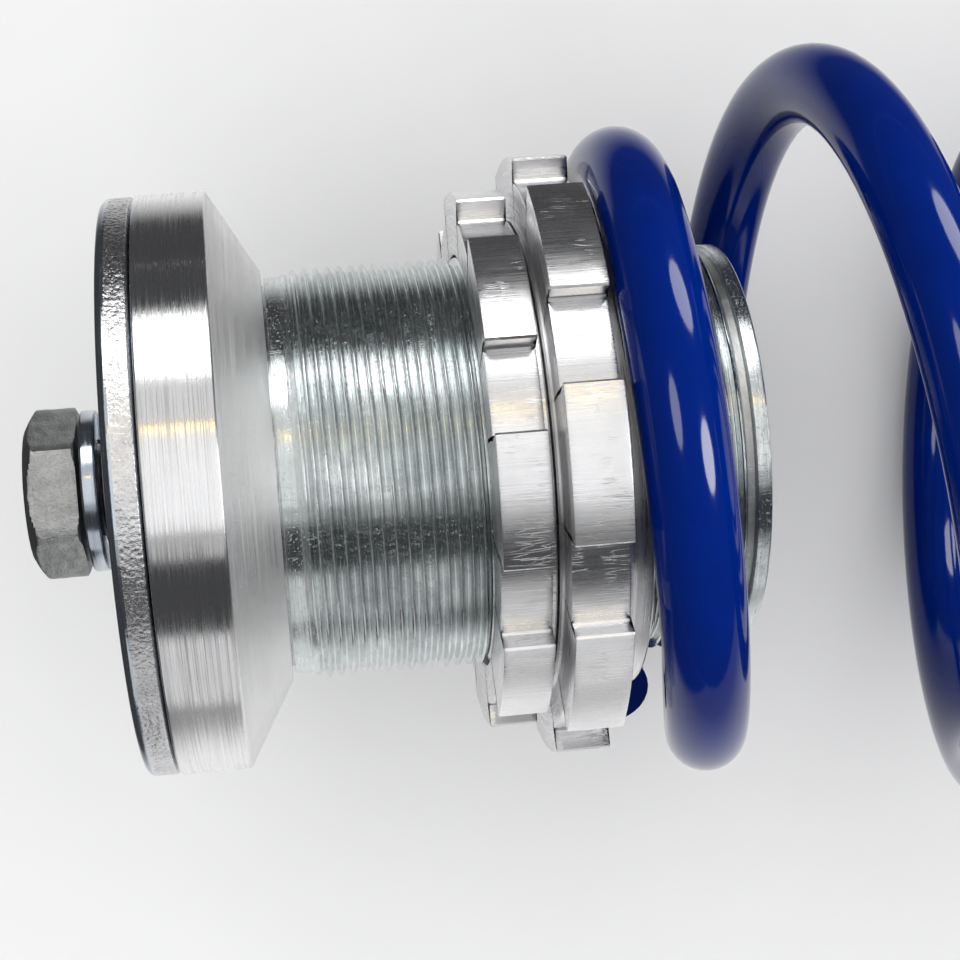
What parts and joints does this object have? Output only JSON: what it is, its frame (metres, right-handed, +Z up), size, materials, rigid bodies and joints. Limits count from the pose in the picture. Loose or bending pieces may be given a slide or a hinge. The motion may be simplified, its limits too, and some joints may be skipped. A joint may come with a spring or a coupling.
{
  "type": "height-adjustable rear spring perch with coil spring",
  "caption": "Coil spring on a slotted adjuster ring and lock ring that run on a threaded sleeve, with a base ring, clamp disc, bolt and washers for fastening it below.",
  "frame": {"origin": "middle of the bounding box, on the axis of the sleeve and the spring", "axes": "+X along the axis from the bolt head to the free end of the spring, +Z up when the unit lies on its side"},
  "size_m": [0.2474, 0.1016, 0.1016],
  "materials": {
    "zinc_steel": "bright zinc plate over a rough sawn and forged surface",
    "blue_zinc_steel": "bluish zinc plate over a machined thread",
    "turned_aluminium": "bright turned and milled, uncoated",
    "blue_coat": "glossy blue powder coat"
  },
  "bodies": {
    "perch": {"hex_bolt": "zinc_steel", "split_lock_washer": "zinc_steel", "flat_washer": "zinc_steel", "clamp_disc": "zinc_steel", "base_ring": "turned_aluminium", "threaded_sleeve": "blue_zinc_steel"},
    "spring": {"coil_spring": "blue_coat"},
    "adjuster": {"adjuster_ring": "turned_aluminium"},
    "lock": {"lock_ring": "turned_aluminium"}
  },
  "joints": [
    {"name": "seat_travel", "type": "slide", "parent": "perch", "child": "spring", "axis": [1, 0, 0], "range_m": [-0.0241, 0.0121]},
    {"name": "adjuster_turn", "type": "hinge", "parent": "spring", "child": "adjuster", "pos_m": [-0.0565, 0, 0], "axis": [1, 0, 0], "range_deg": [-5760, 2880]},
    {"name": "lock_ring_turn", "type": "hinge", "parent": "spring", "child": "lock", "pos_m": [-0.0646, 0, 0], "axis": [1, 0, 0], "range_deg": [-5761, 2881]}
  ],
  "couplings": [
    {"joint": "seat_travel", "follows": "adjuster_turn", "m_per_rad": 0.00023873},
    {"joint": "lock_ring_turn", "follows": "adjuster_turn", "ratio": 1}
  ]
}
